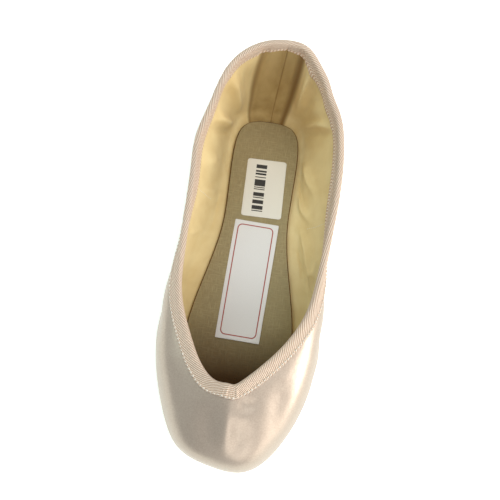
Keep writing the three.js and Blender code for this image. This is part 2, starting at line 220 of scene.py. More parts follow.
def surface(along, share):
    """Outer face of the upper on a grid of places and shares, in millimetres."""
    wrapped = np.mod(along, 2 * TIP)
    other = wrapped > TIP
    rows = sections_at(np.where(other, 2 * TIP - wrapped, wrapped))
    low_cut = sum(depth * np.exp(-((wrapped - at) / width) ** 2) for depth, at, width in THROAT_CUTS)
    cut_share = share - low_cut[:, None] * smooth(2 * share - 1)
    weights = up_weights(cut_share.ravel()).reshape(*cut_share.shape, -1)
    points = np.einsum("asc,acd->asd", weights, rows)
    points[other, :, 1] *= -1
    return place(points[..., 0], points[..., 1], points[..., 2])


def normals(along, share):
    step = 0.004
    up = surface(along, np.minimum(share + step, 1)) - surface(along, np.maximum(share - step, 0))
    forward = surface(along + step, share) - surface(along - step, share)
    across = np.cross(up, forward)
    return across / np.linalg.norm(across, axis=-1, keepdims=True)


# Shares of LENGTH where the wall starts to stiffen and over which it grows to the full box,
# and shares of a section over which it thins to the collar and to the margin
BOX_WALL_START = 0.58
BOX_WALL_RISE = 0.2
COLLAR_THINNING = 0.25
MARGIN_THINNING = 0.22


def wall_thickness(along, share):
    station = ORIGIN[1] - surface(along, share)[..., 1]
    in_box = smooth((station - BOX_WALL_START * LENGTH) / (BOX_WALL_RISE * LENGTH))
    below_collar = smooth((1 - share) / COLLAR_THINNING)
    wall = QUARTER_WALL + (BOX_WALL - QUARTER_WALL) * in_box * below_collar
    return MARGIN_WALL + (wall - MARGIN_WALL) * smooth(share / MARGIN_THINNING)


# Shares of a fold's length over which it rises and dies away, and how far its rise has already
# gone where the fold begins
FOLD_RISE = 0.4
FOLD_FALL = 0.5
FOLD_START = 0.15


def fold(points, along, share, width, depth):
    """Height of a soft ridge (or a trough, where depth is negative) along a line on the wall."""
    line = np.concatenate([surface(np.array([a]), np.array([s]))[0] for a, s in points])
    place_on_wall = surface(along, share)
    nearest = np.full(place_on_wall.shape[:2], np.inf)
    fade = np.ones(place_on_wall.shape[:2])
    lengths = np.linalg.norm(np.diff(line, axis=0), axis=1)
    walked = np.concatenate([[0], np.cumsum(lengths)]) / lengths.sum()
    for start, end, first, last in zip(line[:-1], line[1:], walked[:-1], walked[1:]):
        run = end - start
        share_on = np.clip(((place_on_wall - start) @ run) / (run @ run), 0, 1)
        gap = np.linalg.norm(place_on_wall - (start + share_on[..., None] * run), axis=-1)
        closer = gap < nearest
        nearest = np.where(closer, gap, nearest)
        fade = np.where(closer, first + share_on * (last - first), fade)
    starts_at_rim = points[0][1] == 1
    rising = 1 if starts_at_rim else smooth(FOLD_START + fade / FOLD_RISE)
    taper = smooth((1 - fade) / FOLD_FALL) * rising
    return depth * taper * np.exp(-(nearest / width) ** 2)


# Folds that the whole wall shares, as (place, share of the way up) along each line, with the
# width and height in mm. Places on the left side are counted back from OTHER.
OTHER = 2 * TIP
WALL_FOLDS = [
    ([(1.9, 1), (1.9, 0.75), (1.85, 0.35)], 12, -2.4),
    ([(2.75, 1), (2.8, 0.75), (2.7, 0.4)], 9, -2.2),
    ([(OTHER - 2.3, 1), (OTHER - 2.3, 0.75), (OTHER - 2.2, 0.35)], 16, 2.4),
    ([(OTHER - 4.2, 1), (OTHER - 4.2, 0.75), (OTHER - 4.2, 0.4)], 14, 1.6),
    ([(OTHER - 0.7, 1), (OTHER - 0.7, 0.7), (OTHER - 0.7, 0.4)], 8, -0.8),
]


def draped(along, share):
    """The outer face of the upper with the folds that the whole wall shares."""
    relief = sum(fold(line, along, share, *size) for line, *size in WALL_FOLDS)
    return surface(along, share) + normals(along, share) * relief[..., None]


def loft(name, rings, around, across, materials, slots):
    """A closed skin through rings of points, with its lengths in millimetres as its UV map."""
    count, sides = rings.shape[:2]
    i, j = np.meshgrid(np.arange(count), np.arange(sides), indexing="ij")
    next_i = (i + 1) % count
    next_j = (j + 1) % sides
    corners = [
        (i, j, i, j), (next_i, j, i + 1, j),
        (next_i, next_j, i + 1, j + 1), (i, next_j, i, j + 1)]
    quads = np.stack([a * sides + b for a, b, _, _ in corners], axis=-1).reshape(-1, 4)
    uvs = np.stack([np.stack([around[a], across[b]], -1) for _, _, a, b in corners], axis=-2)
    vertices = rings.reshape(-1, 3) * MM
    faces = vertices[quads]
    volume = np.sum(np.cross(faces[:, 0], faces[:, 1]) * faces[:, 2])
    uvs = uvs.reshape(-1, 4, 2)
    if volume < 0:
        quads = quads[:, ::-1]
        uvs = uvs[:, ::-1]
    mesh = bpy.data.meshes.new(name)
    mesh.from_pydata(vertices.tolist(), [], quads.tolist())
    mesh.uv_layers.new(name="cloth").data.foreach_set("uv", uvs.ravel())
    mesh.polygons.foreach_set("use_smooth", np.ones(len(quads), dtype=bool))
    for material in materials:
        mesh.materials.append(material)
    mesh.polygons.foreach_set("material_index", np.broadcast_to(slots, (count, sides)).ravel().astype(int))
    piece = bpy.data.objects.new(name, mesh)
    bpy.context.scene.collection.objects.link(piece)
    return piece


def lengths_along(points):
    """Running length along a closed row of points."""
    steps = np.linalg.norm(np.diff(points, axis=0, append=points[:1]), axis=1)
    return np.concatenate([[0], np.cumsum(steps)])


def hex_colour(code):
    """A sRGB hex colour as linear red, green, blue and alpha."""
    srgb = np.array([int(code[k:k + 2], 16) for k in (1, 3, 5)]) / 255
    linear = np.where(srgb <= 0.04045, srgb / 12.92, ((srgb + 0.055) / 1.055) ** 2.4)
    return (*linear.tolist(), 1.0)


def add_node(tree, kind, inputs=None, **settings):
    """Adds a node. An input given as a socket is linked, and any other is its value."""
    node = tree.nodes.new(kind)
    for name, value in settings.items():
        setattr(node, name, value)
    for key, value in (inputs or {}).items():
        if isinstance(value, bpy.types.NodeSocket):
            tree.links.new(value, node.inputs[key])
        else:
            node.inputs[key].default_value = value
    return node


def maths(tree, operation, *values):
    """The result of a Math node on these sockets or numbers."""
    return add_node(tree, "ShaderNodeMath", dict(enumerate(values)), operation=operation).outputs[0]


def mix_colours(tree, share, low, high):
    """The mix by a share of two colours, each a socket or a hex code."""
    low, high = (hex_colour(colour) if isinstance(colour, str) else colour for colour in (low, high))
    return add_node(tree, "ShaderNodeMix", {0: share, 6: low, 7: high}, data_type="RGBA").outputs[2]


def new_material(name, **values):
    """A material with these values on its Principled shader, and its node tree."""
    material = bpy.data.materials.new(name)
    material.use_nodes = True
    shader = material.node_tree.nodes["Principled BSDF"]
    for key, value in values.items():
        shader.inputs[key.replace("_", " ")].default_value = value
    return material, material.node_tree, shader


# Polyester satin: half metallic, so that it gives broad pearly bands of gloss along the shoe.
# Its grain is 0.2 mm in the cloth, and drawn about 0.7 mm wide so that it shows
satin, tree, shader = new_material(
    "pale_pink_satin", Metallic=0.5, Roughness=0.37, Specular_IOR_Level=0.6)
place_in_piece = add_node(tree, "ShaderNodeTexCoord").outputs["Object"]
grain = add_node(tree, "ShaderNodeTexNoise", {"Vector": place_in_piece, "Scale": 1400.0, "Detail": 2.0})
cloud = add_node(tree, "ShaderNodeTexNoise", {"Vector": place_in_piece, "Scale": 55.0, "Detail": 2.0})
mottle = mix_colours(tree, cloud.outputs["Fac"], "#a69382", "#b5a394")
pearl = mix_colours(tree, grain.outputs["Fac"], mottle, "#cdc0b2")
tree.links.new(pearl, shader.inputs["Base Color"])
uneven = add_node(tree, "ShaderNodeTexNoise", {"Vector": place_in_piece, "Scale": 160.0, "Detail": 2.0})
waved = add_node(tree, "ShaderNodeBump", {
    "Height": uneven.outputs["Fac"], "Strength": 0.3, "Distance": 0.0005})
raised = add_node(tree, "ShaderNodeBump", {
    "Height": grain.outputs["Fac"], "Strength": 0.04, "Distance": 0.0003, "Normal": waved.outputs["Normal"]})
tree.links.new(raised.outputs["Normal"], shader.inputs["Normal"])

AROUND = 480
OUTSIDE_STEPS = 90
INSIDE_STEPS = 70
around = np.arange(AROUND) / AROUND * OTHER
outside = np.linspace(0, 1, OUTSIDE_STEPS)
inside = np.linspace(1, 0, INSIDE_STEPS)
MEASURED_SHARE = 0.6
round_shoe = lengths_along(surface(around, np.array([MEASURED_SHARE]))[:, 0])
STRIP_RIGHT = 0.86
STRIP_LEFT = OTHER - 1.05
STRIP_SOFTNESS = 3.4
STRIP_LEAN = 0.14
SEAM_AT = 0.75

# Undyed cotton drill: matt and creamy yellow, with a fine thread relief. A strip down the back
# is painted darker and browner, partly for the glue behind it and partly as painted shade of its recess.
lining, tree, shader = new_material(
    "cream_cotton_drill", Roughness=0.9, Specular_IOR_Level=0.2, Sheen_Weight=0.15)
cloth = add_node(tree, "ShaderNodeUVMap", uv_map="cloth").outputs["UV"]
cloud = add_node(tree, "ShaderNodeTexNoise", {"Vector": cloth, "Scale": 0.09, "Detail": 4.0})
tone = mix_colours(tree, cloud.outputs["Fac"], "#d9be84", "#f6e4b2")
split = add_node(tree, "ShaderNodeSeparateXYZ", {"Vector": cloth})
right_edge, left_edge = np.interp([STRIP_RIGHT, STRIP_LEFT], around, round_shoe[:-1])
in_right = add_node(tree, "ShaderNodeMapRange", {
    "Value": split.outputs["X"], "From Min": right_edge + STRIP_SOFTNESS,
    "From Max": right_edge - STRIP_SOFTNESS}, interpolation_type="SMOOTHSTEP")
leaning = maths(tree, "MULTIPLY_ADD", split.outputs["Y"], STRIP_LEAN, split.outputs["X"])
in_left = add_node(tree, "ShaderNodeMapRange", {
    "Value": leaning, "From Min": left_edge - STRIP_SOFTNESS,
    "From Max": left_edge + STRIP_SOFTNESS}, interpolation_type="SMOOTHSTEP")
in_strip = maths(tree, "ADD", in_right.outputs[0], in_left.outputs[0])
# the strip's brown is partly glue and partly painted shade
patchy = add_node(tree, "ShaderNodeMapRange", {
    "Value": cloud.outputs["Fac"], "From Min": 0.3, "From Max": 0.7, "To Min": 0.4, "To Max": 0.82})
strip_glue_and_shade_share = maths(tree, "MULTIPLY", in_strip, patchy.outputs[0])
glue_and_shade_browned = mix_colours(tree, strip_glue_and_shade_share, tone, "#8c6a28")
# the seam down the middle of the strip as a dark line, and painted shade in the creases along its two edges
seam_and_crease_shaded = glue_and_shade_browned
straight = split.outputs["X"]
for across, at, reach, share in (
        (straight, SEAM_AT, 0.7, 0.5),
        (straight, right_edge, 4.2, 0.8),
        (leaning, left_edge, 2.6, 0.6)):
    away = maths(tree, "SUBTRACT", across, at)
    size = maths(tree, "ABSOLUTE", away)
    on_line = add_node(tree, "ShaderNodeMapRange", {
        "Value": size, "From Min": reach, "From Max": 0.0, "To Max": share},
        interpolation_type="SMOOTHSTEP")
    seam_and_crease_shaded = mix_colours(tree, on_line.outputs[0], seam_and_crease_shaded, "#74501e")
warp = add_node(tree, "ShaderNodeTexWave", {
    "Vector": cloth, "Scale": 0.5, "Distortion": 1.5}, bands_direction="X")
weft = add_node(tree, "ShaderNodeTexWave", {
    "Vector": cloth, "Scale": 0.5, "Distortion": 1.5}, bands_direction="Y")
threads = maths(tree, "ADD", warp.outputs["Fac"], weft.outputs["Fac"])
tree.links.new(seam_and_crease_shaded, shader.inputs["Base Color"])
raised = add_node(tree, "ShaderNodeBump", {"Height": threads, "Strength": 0.2, "Distance": 0.0002})
tree.links.new(raised.outputs["Normal"], shader.inputs["Normal"])

# Folds of the satin alone
SATIN_FOLDS = [
    ([(TIP, 0.98), (TIP - 0.25, 0.88), (TIP - 0.4, 0.8), (TIP - 0.4, 0.62)], 5, 1.3),
    ([(TIP + 1.6, 0.93), (TIP + 0.9, 0.84), (TIP + 0.6, 0.7)], 6, -0.9),
    ([(TIP - 0.9, 0.97), (TIP - 1.7, 0.93), (TIP - 2.6, 0.9)], 3.5, -0.8),
    ([(TIP - 1.2, 0.9), (TIP - 1.0, 0.8), (TIP - 0.9, 0.66)], 5, -0.6),
    ([(TIP - 3.6, 0.9), (TIP - 2.8, 0.74), (TIP - 2.2, 0.55)], 6, -0.6),
    ([(0, 0.98), (0, 0.5), (0, 0.08)], 0.8, -0.5),
    ([(6.1, 0.96), (5.9, 0.5), (5.7, 0.1)], 0.9, -0.4),
    ([(OTHER - 6.1, 0.96), (OTHER - 5.9, 0.5), (OTHER - 5.7, 0.1)], 0.9, -0.4),
    ([(7.6, 0.25), (8.6, 0.45), (9.4, 0.7)], 5, -0.6),
    ([(8.4, 0.2), (9.2, 0.4), (10.0, 0.6)], 5, 0.5),
    ([(OTHER - 7.4, 0.25), (OTHER - 8.5, 0.45), (OTHER - 9.6, 0.7)], 5, -0.6),
    ([(OTHER - 8.2, 0.2), (OTHER - 9.1, 0.4), (OTHER - 10.2, 0.6)], 5, 0.5),
]

# Folds of the lining, where a height stands out into the shoe
LINING_FOLDS = [
    ([(1.45, 0.92), (1.45, 0.6), (1.45, 0.16)], 3.8, 6.2),
    ([(0.95, 0.86), (0.92, 0.6), (0.95, 0.3)], 1.5, 1.3),
    ([(2.7, 0.8), (2.3, 0.5), (2.0, 0.2)], 5, 2.0),
    ([(OTHER - 2.35, 0.9), (OTHER - 2.15, 0.6), (OTHER - 1.95, 0.16)], 4.2, 6.0),
    ([(OTHER - 1.8, 0.84), (OTHER - 1.8, 0.6), (OTHER - 1.7, 0.3)], 1.5, 1.2),
    ([(OTHER - 3.2, 0.75), (OTHER - 2.9, 0.45), (OTHER - 2.6, 0.2)], 4, 2.4),
    ([(STRIP_RIGHT, 1), (STRIP_RIGHT, 0.6), (0.9, 0.15)], 2.0, -2.4),
    ([(STRIP_LEFT, 1), (OTHER - 1.25, 0.6), (OTHER - 1.45, 0.15)], 2.0, -2.2),
    ([(0.0, 1), (0.02, 0.6), (0.05, 0.2)], 0.8, -0.7),
    ([(3.4, 0.8), (3.05, 0.48), (2.6, 0.24), (2.1, 0.1)], 1.3, -2.6),
    ([(3.3, 0.86), (2.9, 0.56), (2.4, 0.32), (1.95, 0.16)], 2.0, 4.2),
    ([(OTHER - 3.7, 0.75), (OTHER - 3.4, 0.5), (OTHER - 2.9, 0.25), (OTHER - 2.5, 0.12)], 1.3, -2.6),
    ([(OTHER - 3.45, 0.8), (OTHER - 3.15, 0.55), (OTHER - 2.7, 0.31), (OTHER - 2.3, 0.17)], 2.2, 3.2),
    ([(OTHER - 4.5, 0.7), (OTHER - 4.2, 0.45), (OTHER - 3.9, 0.2)], 4, 1.6),
    ([(3.4, 0.15), (4.2, 0.3), (5.0, 0.45)], 2.6, 2.8),
    ([(3.9, 0.1), (4.7, 0.18), (5.3, 0.28)], 1.3, -1.2),
    ([(4.6, 0.1), (5.2, 0.22), (5.7, 0.36)], 2.2, 2.4),
    ([(5.7, 0.12), (6.3, 0.26), (7.0, 0.3), (7.8, 0.24)], 2.4, 3.9),
    ([(6.1, 0.1), (6.8, 0.14), (7.5, 0.13)], 1.3, -1.2),
    ([(6.6, 0.5), (7.0, 0.34), (7.2, 0.2)], 1.8, 1.4),
    ([(OTHER - 4.9, 0.14), (OTHER - 5.6, 0.1), (OTHER - 6.4, 0.1)], 1.3, -0.8),
    ([(OTHER - 5.2, 0.5), (OTHER - 5.0, 0.25), (OTHER - 5.2, 0.1)], 2.2, 1.4),
    ([(OTHER - 6.5, 0.5), (OTHER - 6.2, 0.25), (OTHER - 6.4, 0.1)], 2.4, 1.3),
]

# The toe pleats stand in a row round the margin and fade out at the edge of the platform. Lower
# ones stand round the heel. Starts, ends and rises are shares of LENGTH, and the pleats' own
# middle, top and fade are shares of a section
PLEAT_PITCH = 3.6
PLEAT_HEIGHT = 0.85
TOE_PLEATS_START = 0.82
TOE_PLEATS_RISE = 0.06
HEEL_PLEATS_SHARE = 0.6
HEEL_PLEATS_END = 0.09
HEEL_PLEATS_RISE = 0.05
PLEAT_MIDDLE = 0.12
PLEAT_TOP = 0.1
PLEAT_FADE = 0.14
PLEAT_SWAY = 1.2
PLEAT_SWAY_RATE = 2.1
PLEAT_SINK = 0.4
margin_line = surface(around, np.array([PLEAT_MIDDLE]))[:, 0]
pleat_phase = lengths_along(margin_line)[:-1] / PLEAT_PITCH
pleat_phase *= round(pleat_phase[-1]) / pleat_phase[-1]
margin_station = ORIGIN[1] - margin_line[:, 1]
pleated = smooth((margin_station - TOE_PLEATS_START * LENGTH) / (TOE_PLEATS_RISE * LENGTH))
pleated += HEEL_PLEATS_SHARE * smooth(
    (HEEL_PLEATS_END * LENGTH - margin_station) / (HEEL_PLEATS_RISE * LENGTH))
sway = PLEAT_SWAY * np.sin(PLEAT_SWAY_RATE * pleat_phase)
pleats = (0.5 + 0.5 * np.cos(2 * np.pi * pleat_phase + sway)) ** 2 - PLEAT_SINK
pleat_relief = PLEAT_HEIGHT * (pleated * pleats)[:, None] * (1 - smooth((outside - PLEAT_TOP) / PLEAT_FADE))

# Shares of a section where the folds die away, and how far a trough may go into the wall, in mm
SATIN_FADE_START = 0.97
SATIN_FADE = 0.03
LINING_FADE = 0.06
DEEPEST_TROUGH = -0.95


def satin_relief(along, share):
    """Height of the folds of the satin. They die away at the rim."""
    folds = sum(fold(line, along, share, *size) for line, *size in SATIN_FOLDS)
    return folds * (1 - smooth((share - SATIN_FADE_START) / SATIN_FADE))


def lining_relief(along, share):
    """Height of the folds of the lining into the shoe. They die away at the rim and the margin."""
    folds = sum(fold(line, along, share, *size) for line, *size in LINING_FOLDS)
    return np.maximum(folds, DEEPEST_TROUGH) * smooth((1 - share) / LINING_FADE) * smooth(share / LINING_FADE)


skin_relief = satin_relief(around, outside) + pleat_relief
skin = draped(around, outside) + normals(around, outside) * skin_relief[..., None]
wall = wall_thickness(around, inside) + lining_relief(around, inside)
inner = draped(around, inside) - normals(around, inside) * wall[..., None]
rings = np.concatenate([skin, inner], axis=1)
slots = np.concatenate([np.zeros(OUTSIDE_STEPS - 1), np.ones(INSIDE_STEPS), [0]])
up_shoe = lengths_along(rings[AROUND // 4])
up_shoe -= up_shoe[OUTSIDE_STEPS - 1]
upper = loft("satin_upper", rings, round_shoe, up_shoe, [satin, lining], slots)
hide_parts("upper")
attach(upper, "root")

# Binding
# A cotton twill tape folded over the collar as the casing of the drawstring, and sewn through
# along its outer edge. Its herringbone ribs run slantwise from the fold.
TAPE_THICKNESS = 0.7
TAPE_OUTSIDE = 6.5
TAPE_INSIDE = 8.5
TAPE_CLEARANCE = 0.12
CORD_BULGE = 0.55
CORD_BULGE_INSIDE = 0.22
CORD_DEPTH = 1.8
CORD_REACH = 1.4
BEND_FULLNESS = 0.7

# Cotton herringbone twill dyed pale pink: matt, with ribs 1 mm apart that run 30 degrees off the
# length of the tape and turn back once on the leg inside
tape, tree, shader = new_material(
    "pink_cotton_twill_tape", Roughness=0.82, Specular_IOR_Level=0.25, Sheen_Weight=0.3,
    Sheen_Tint=hex_colour("#fff0e6"))
cloth = add_node(tree, "ShaderNodeUVMap", uv_map="cloth").outputs["UV"]
split = add_node(tree, "ShaderNodeSeparateXYZ", {"Vector": cloth})
HERRINGBONE_TOP = 3.2
HERRINGBONE_END = 5.8
RIB_SLANT = 1.7
on_leg = maths(tree, "SUBTRACT", split.outputs["Y"], HERRINGBONE_TOP)
past_top = maths(tree, "MAXIMUM", on_leg, 0.0)
turned_back = maths(tree, "MINIMUM", past_top, HERRINGBONE_END - HERRINGBONE_TOP)
zigzag = maths(tree, "MULTIPLY_ADD", turned_back, -2.0, split.outputs["Y"])
rib_place = maths(tree, "MULTIPLY_ADD", zigzag, RIB_SLANT, split.outputs["X"])
RIB_PITCH = 1.9
rib_turns = maths(tree, "MULTIPLY", rib_place, 2 * math.pi / RIB_PITCH)
rib = maths(tree, "SINE", rib_turns)
rib_height = add_node(tree, "ShaderNodeMapRange", {"Value": rib, "From Min": -1.0})
fuzz = add_node(tree, "ShaderNodeTexNoise", {"Vector": cloth, "Scale": 1.0, "Detail": 3.0})
rough_rib = maths(tree, "MULTIPLY_ADD", fuzz.outputs["Fac"], 0.6, rib_height.outputs[0])
tone = mix_colours(tree, rib_height.outputs[0], "#ceaa8c", "#fff0e0")
tree.links.new(tone, shader.inputs["Base Color"])
raised = add_node(tree, "ShaderNodeBump", {
    "Height": rough_rib, "Strength": 1.0, "Distance": 0.0004})
tree.links.new(raised.outputs["Normal"], shader.inputs["Normal"])

TAPE_AROUND = 840
LEG_STEPS = 9
tape_around = np.arange(TAPE_AROUND) / TAPE_AROUND * 2 * TIP

# The wall below the rim, finely divided, and how far below the rim each point lies
WALL_SHARES = np.linspace(0.7, 1, 150)
wall_points = draped(tape_around, WALL_SHARES)
wall_normals = normals(tape_around, WALL_SHARES)
wall_widths = wall_thickness(tape_around, WALL_SHARES)
satin_folds = satin_relief(tape_around, WALL_SHARES)
lining_folds = lining_relief(tape_around, WALL_SHARES)
wall_steps = np.linalg.norm(np.diff(wall_points, axis=1), axis=-1)
below_rim = np.cumsum(np.pad(wall_steps, ((0, 0), (0, 1)))[:, ::-1], axis=1)[:, ::-1]


def tape_leg(widths, clearance, inner_leg):
    """One face of a leg of the tape, from its free edge up to the fold."""
    ring = np.arange(TAPE_AROUND)
    rows = []
    for part in np.linspace(1, 0, LEG_STEPS):
        depth = widths * part
        index = np.array([np.interp(-d, -row, np.arange(len(row))) for d, row in zip(depth, below_rim)])
        low = np.minimum(index.astype(int), len(WALL_SHARES) - 2)
        mix = (index - low)[:, None]
        point = wall_points[ring, low] * (1 - mix) + wall_points[ring, low + 1] * mix
        out = wall_normals[ring, low] * (1 - mix) + wall_normals[ring, low + 1] * mix
        bulge = np.exp(-((depth - CORD_DEPTH) / CORD_REACH) ** 2) * (clearance > TAPE_CLEARANCE)
        if inner_leg:
            across = -wall_widths[ring, low] - lining_folds[ring, low] - clearance
            across -= CORD_BULGE_INSIDE * bulge
        else:
            across = satin_folds[ring, low] + clearance + CORD_BULGE * bulge
            across += wrinkles * part * (1 - part)
        rows.append(point + out * across[:, None])
    return np.stack(rows, axis=1)


def tape_bend(clearance, steps):
    """The fold over the rim, from the satin side to the lining side."""
    rim = wall_points[:, -1]
    out = wall_normals[:, -1]
    up = rim - wall_points[:, -2]
    up /= np.linalg.norm(up, axis=-1, keepdims=True)
    half_wall = wall_widths[:, -1:] / 2
    reach = half_wall + clearance
    angles = np.linspace(0, math.pi, steps + 2)[1:-1]
    points = [
        rim + out * (reach * math.cos(angle) - half_wall)
        + up * clearance * math.sin(angle) ** BEND_FULLNESS
        for angle in angles]
    return np.stack(points, axis=1)


outside_widths = np.full(TAPE_AROUND, TAPE_OUTSIDE)

# The tape is wrinkled most in the point of the throat, at these places and heights, and a
# little elsewhere
THROAT_WRINKLES = ((13.1, 2.6), (14.5, 2.2), (14.9, 1.6))
THROAT_WRINKLE_WIDTH = 0.16
FINE_WRINKLES = 0.5
wrinkles = FINE_WRINKLES * np.sin(17 * tape_around + 2 * np.sin(5 * tape_around)) ** 3
for at, height in THROAT_WRINKLES:
    wrinkles += height * np.exp(-((tape_around - at) / THROAT_WRINKLE_WIDTH) ** 2)

# The leg inside is narrower at the back seam and wider at the right of the heel
BACK_NARROWING = 3.4
SIDE_WIDENING = 3.8
SIDE_PLACE = 2.1
WIDTH_REACH = 1.1
from_back = np.minimum(tape_around, OTHER - tape_around)
inside_widths = TAPE_INSIDE - BACK_NARROWING * np.exp(-(from_back / WIDTH_REACH) ** 2)
inside_widths += SIDE_WIDENING * np.exp(-((tape_around - SIDE_PLACE) / WIDTH_REACH) ** 2)
FULL = TAPE_CLEARANCE + TAPE_THICKNESS
tape_rings = np.concatenate([
    tape_leg(outside_widths, FULL, False),
    tape_bend(FULL, 7),
    tape_leg(inside_widths, FULL, True)[:, ::-1],
    tape_leg(inside_widths, TAPE_CLEARANCE, True),
    tape_bend(TAPE_CLEARANCE, 3)[:, ::-1],
    tape_leg(outside_widths, TAPE_CLEARANCE, False)[:, ::-1],
], axis=1)
across_tape = lengths_along(tape_rings[TAPE_AROUND // 4])
across_tape -= across_tape[LEG_STEPS + 3]
round_tape = lengths_along(tape_rings[:, LEG_STEPS + 3])
round_tape *= RIB_PITCH * round(round_tape[-1] / RIB_PITCH) / round_tape[-1]
binding = loft("collar_binding", tape_rings, round_tape, across_tape, [tape], 0)
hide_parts("binding")
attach(binding, "root")

# Outsole
# A thin split-leather sole laid in the opening under the pleats, standing a little proud of
# them, flat under the heel and the forefoot and drawn up under the waist.
OUTSOLE_THICKNESS = 2.4
OUTSOLE_ROUNDING = 0.6

# The middle line of a slab's faces stops this share of its half width short of its ends
SPINE_INSET = 0.25
FACE_STEPS = 7
EDGE_STEPS = 9

# The column and the row of a slab's points that give the lengths for its UV map
EDGE_COLUMN = 8
WIDE_ROW = 20


def slab(name, outline, bottom, top, rounding, materials, plan=None):
    """A flat piece with rounded edges that follows the sole line, from a half outline.
    The last of its materials is on its edge."""
    whole = np.concatenate([outline, outline[-2:0:-1] * [1, -1]])
    last = SPINE_INSET * outline[:, 1].max()
    spine = np.clip(whole[:, 0], outline[0, 0] + last, outline[-1, 0] - last)
    spine = np.column_stack([spine, np.zeros(len(whole))])
    reach = np.linalg.norm(whole - spine, axis=1, keepdims=True)
    inward = (spine - whole) / reach
    shares = np.linspace(0, 1, FACE_STEPS)
    turns = np.linspace(-math.pi / 2, math.pi / 2, EDGE_STEPS)
    middle = (top + bottom) / 2
    columns = [(spine + (whole + inward * rounding - spine) * s, bottom) for s in shares[:-1]]
    for turn in turns:
        swell = rounding * (1 - math.cos(turn))
        columns.append((whole + inward * swell, middle + (top - bottom) / 2 * math.sin(turn)))
    columns += [(spine + (whole + inward * rounding - spine) * s, top) for s in shares[-2::-1]]
    points = []
    for column, up in columns:
        station, out = plan(*column.T) if plan else column.T
        points.append(place(station, out, np.full(len(column), up)))
    rings = np.stack(points, axis=1)
    faces_up = np.arange(len(columns))
    on_edge = (faces_up >= FACE_STEPS - 1) & (faces_up < FACE_STEPS + EDGE_STEPS - 3)
    slots = on_edge * (len(materials) - 1)
    round_edge = lengths_along(rings[:, EDGE_COLUMN])
    piece = loft(name, rings, round_edge, lengths_along(rings[WIDE_ROW]), materials, slots)
    shell = bmesh.new()
    shell.from_mesh(piece.data)
    inner_faces = [face for face in shell.faces if all(
        vertex.index % len(columns) in (0, len(columns) - 1) for vertex in face.verts)]
    bmesh.ops.delete(shell, geom=inner_faces, context="FACES_ONLY")
    bmesh.ops.remove_doubles(shell, verts=shell.verts, dist=1e-6)
    bmesh.ops.dissolve_degenerate(shell, edges=shell.edges, dist=1e-7)
    bmesh.ops.recalc_face_normals(shell, faces=shell.faces)
    shell.to_mesh(piece.data)
    shell.free()
    return piece


# Split leather: tan and napped, matt, with fine short fibres that show as a soft grain
leather, tree, shader = new_material("tan_split_leather", Roughness=0.85, Specular_IOR_Level=0.3)
place_in_piece = add_node(tree, "ShaderNodeTexCoord").outputs["Object"]
nap = add_node(tree, "ShaderNodeTexNoise", {"Vector": place_in_piece, "Scale": 1400.0, "Detail": 4.0})
patches = add_node(tree, "ShaderNodeTexNoise", {"Vector": place_in_piece, "Scale": 60.0, "Detail": 3.0})
tone = mix_colours(tree, patches.outputs["Fac"], "#b08a67", "#cfae8b")
tree.links.new(tone, shader.inputs["Base Color"])
raised = add_node(tree, "ShaderNodeBump", {"Height": nap.outputs["Fac"], "Strength": 0.4, "Distance": 0.0003})
tree.links.new(raised.outputs["Normal"], shader.inputs["Normal"])

SLAB_STEPS = 150
outline = sole_outline(np.linspace(0, TIP, SLAB_STEPS), -OUTSOLE_GAP)
outsole = slab("leather_outsole", outline, 0, OUTSOLE_THICKNESS, OUTSOLE_ROUNDING, [leather])
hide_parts("outsole")
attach(outsole, "root")

# Insole
# A stiff board covered in plain linen, glued over the turned margin. Its heel end is rounded
# and its edges stand a little above the lining.
INSOLE_GAP = 0.3
INSOLE_THICKNESS = 2.2
INSOLE_BOTTOM = OUTSOLE_THICKNESS + INSOLE_GAP
INSOLE_TOP = INSOLE_BOTTOM + INSOLE_THICKNESS
INSOLE_LAP = 1.5
INSOLE_ROUNDING = 1.0

# Unbleached linen: greyish beige, matt, with slubby threads drawn 0.6 mm apart so that they show
linen, tree, shader = new_material("unbleached_linen", Roughness=0.92, Specular_IOR_Level=0.2)
place_in_piece = add_node(tree, "ShaderNodeTexCoord").outputs["Object"]
LINEN_PITCH = 0.0006
slubs = []
for stretch in ((1 / LINEN_PITCH, 0.12 / LINEN_PITCH, 1), (0.12 / LINEN_PITCH, 1 / LINEN_PITCH, 1)):
    drawn = add_node(tree, "ShaderNodeMapping", {"Vector": place_in_piece, "Scale": stretch}).outputs[0]
    slubs.append(add_node(tree, "ShaderNodeTexNoise", {"Vector": drawn, "Scale": 1.0, "Detail": 2.0}))
weave = maths(tree, "MAXIMUM", slubs[0].outputs["Fac"], slubs[1].outputs["Fac"])
weave_range = add_node(tree, "ShaderNodeMapRange", {
    "Value": weave, "From Min": 0.45, "From Max": 0.75})
tone = mix_colours(tree, weave_range.outputs[0], "#978663", "#bbaa83")
stain = add_node(tree, "ShaderNodeTexNoise", {"Vector": place_in_piece, "Scale": 45.0, "Detail": 3.0})
aged = mix_colours(tree, stain.outputs["Fac"], tone, "#9b8f6c")
# painted shade: the linen is darkened to brown towards the toe, where the vamp shades it
TOE_SHADE_START = -0.032
TOE_SHADE_END = -0.066
split = add_node(tree, "ShaderNodeSeparateXYZ", {"Vector": place_in_piece})
toe_shade = add_node(tree, "ShaderNodeMapRange", {
    "Value": split.outputs["Y"], "From Min": TOE_SHADE_START, "From Max": TOE_SHADE_END, "To Max": 0.92})
toe_shaded = mix_colours(tree, toe_shade.outputs[0], aged, "#43290f")
tree.links.new(toe_shaded, shader.inputs["Base Color"])
raised = add_node(tree, "ShaderNodeBump", {"Height": weave, "Strength": 0.5, "Distance": 0.0004})
tree.links.new(raised.outputs["Normal"], shader.inputs["Normal"])
